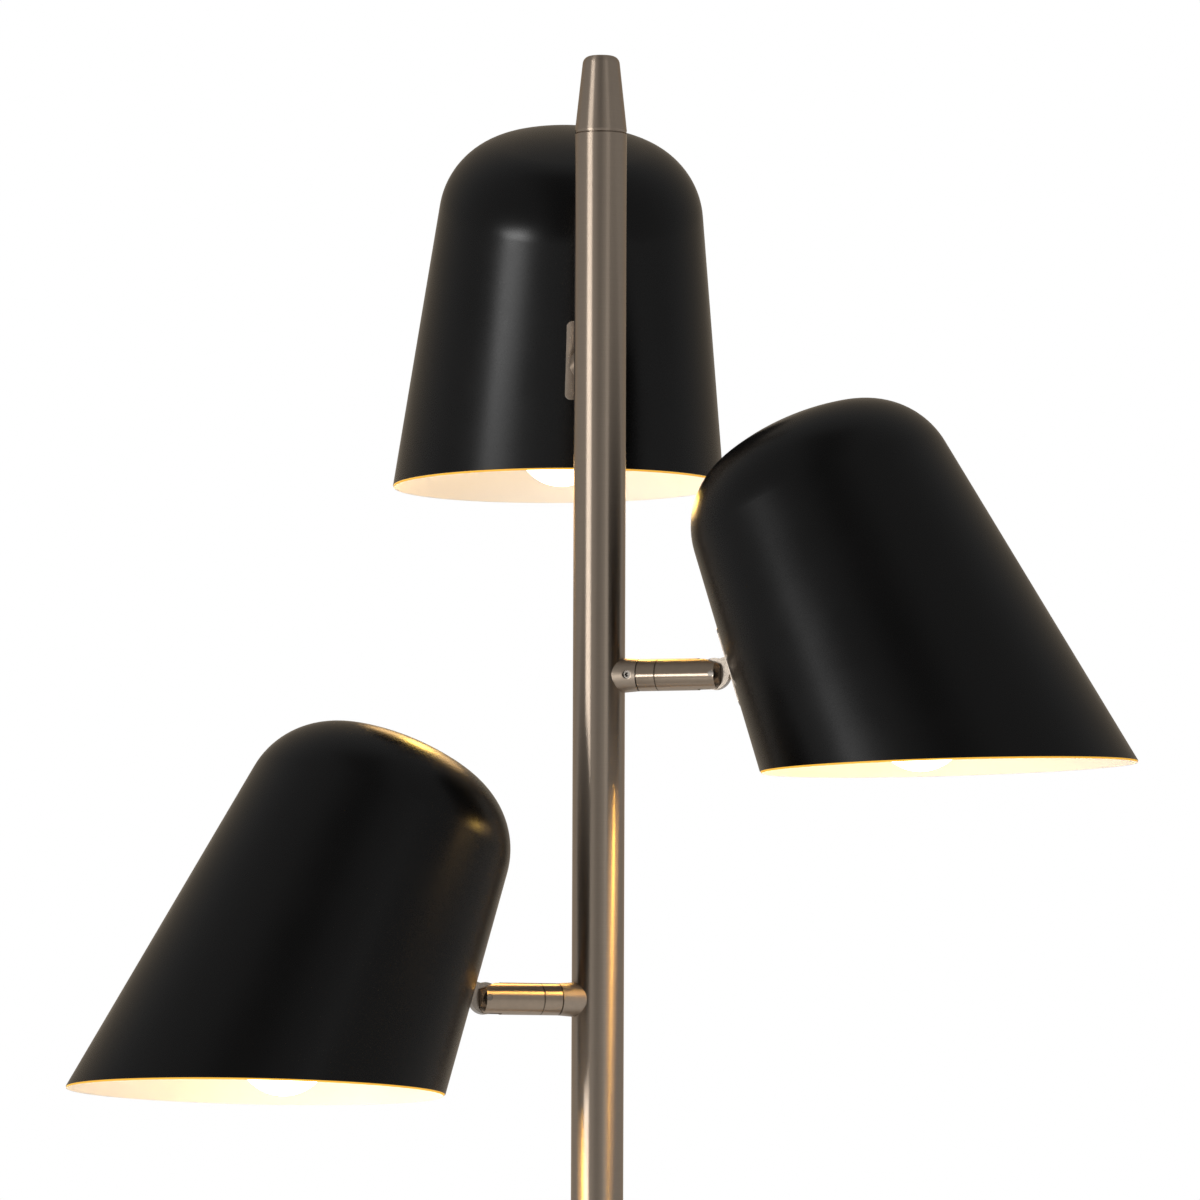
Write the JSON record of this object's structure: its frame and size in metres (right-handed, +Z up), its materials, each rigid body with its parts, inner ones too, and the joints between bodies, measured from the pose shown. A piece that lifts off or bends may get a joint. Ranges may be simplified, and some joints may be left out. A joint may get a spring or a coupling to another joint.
{
  "type": "floor lamp",
  "caption": "Free-standing floor lamp: slim brushed-metal pole on a round weighted base, with black conical shades on short swivelling, tilting arms.",
  "frame": {"origin": "centre of the base's underside, on the pole's axis", "axes": "+Z up along the pole; +Y away from the viewer, with the cord's inlet in the base's rear; +X to the viewer's right"},
  "size_m": [0.5042, 0.4161, 1.6],
  "materials": {
    "brushed_nickel": "satin",
    "bright_nickel": "polished",
    "black_paint": "satin",
    "white_enamel": "satin",
    "white_plastic": "satin",
    "brass": "satin",
    "zinc_steel": "satin",
    "dark_steel": "satin",
    "black_rubber": "matte",
    "foam_pad": "matte",
    "cast_iron": "matte",
    "bulb_glass": "satin"
  },
  "bodies": {
    "root": {"base_pad": "foam_pad", "base_weight": "cast_iron", "base_cover": "brushed_nickel", "foot_tube": "brass", "foot_fasteners": "zinc_steel", "cord_grommet": "black_rubber", "pole_lower": "brushed_nickel", "pole_upper": "brushed_nickel", "pole_inserts": "brass", "pole_coupler": "brass", "finial": "brushed_nickel", "lamp_leads": "white_plastic", "weld_nuts": "zinc_steel", "set_screws": "dark_steel", "left_saddle": "brushed_nickel", "right_saddle": "brushed_nickel", "top_saddle": "brushed_nickel", "left_stud": "brass", "right_stud": "brass", "top_stud": "brass"},
    "left_arm": {"left_swivel_ring": "bright_nickel", "left_friction_washer": "brass", "left_knuckle": "bright_nickel", "left_hinge_pin": "dark_steel"},
    "left_head": {"left_hinge_bracket": "bright_nickel", "left_bracket_nuts": "zinc_steel", "left_shade": "black_paint", "left_holder_bracket": "zinc_steel", "left_holder_nut": "zinc_steel", "left_lampholder": "white_plastic", "left_contact_shell": "brass", "left_bulb_cap": "zinc_steel", "left_bulb_glass": "bulb_glass"},
    "right_arm": {"right_swivel_ring": "bright_nickel", "right_friction_washer": "brass", "right_knuckle": "bright_nickel", "right_hinge_pin": "dark_steel"},
    "right_head": {"right_hinge_bracket": "bright_nickel", "right_bracket_nuts": "zinc_steel", "right_shade": "black_paint", "right_holder_bracket": "zinc_steel", "right_holder_nut": "zinc_steel", "right_lampholder": "white_plastic", "right_contact_shell": "brass", "right_bulb_cap": "zinc_steel", "right_bulb_glass": "bulb_glass"},
    "top_arm": {"top_swivel_ring": "bright_nickel", "top_friction_washer": "brass", "top_knuckle": "bright_nickel", "top_hinge_pin": "dark_steel"},
    "top_head": {"top_hinge_bracket": "bright_nickel", "top_bracket_nuts": "zinc_steel", "top_shade": "black_paint", "top_holder_bracket": "zinc_steel", "top_holder_nut": "zinc_steel", "top_lampholder": "white_plastic", "top_contact_shell": "brass", "top_bulb_cap": "zinc_steel", "top_bulb_glass": "bulb_glass"}
  },
  "joints": [
    {"name": "left_swivel", "type": "hinge", "parent": "root", "child": "left_arm", "pos_m": [-0.01887, -0.00801, 1.146], "axis": [-0.9205, -0.3907, 0], "range_deg": [-170, 170]},
    {"name": "left_tilt", "type": "hinge", "parent": "left_arm", "child": "left_head", "pos_m": [-0.05403, -0.02294, 1.146], "axis": [0.3903, -0.9194, 0.0488], "range_deg": [-25, 75]},
    {"name": "right_swivel", "type": "hinge", "parent": "root", "child": "right_arm", "pos_m": [0.01938, -0.00667, 1.301], "axis": [0.9455, -0.3256, 0], "range_deg": [-170, 170]},
    {"name": "right_tilt", "type": "hinge", "parent": "right_arm", "child": "right_head", "pos_m": [0.0555, -0.01911, 1.301], "axis": [0.3255, 0.9454, 0.0122], "range_deg": [-25, 75]},
    {"name": "top_swivel", "type": "hinge", "parent": "root", "child": "top_arm", "pos_m": [-0.0025, 0.02035, 1.457], "axis": [-0.1219, 0.9925, 0], "range_deg": [-170, 170]},
    {"name": "top_tilt", "type": "hinge", "parent": "top_arm", "child": "top_head", "pos_m": [-0.00715, 0.05826, 1.457], "axis": [-0.9925, -0.1219, -0.007], "range_deg": [-25, 75]}
  ]
}
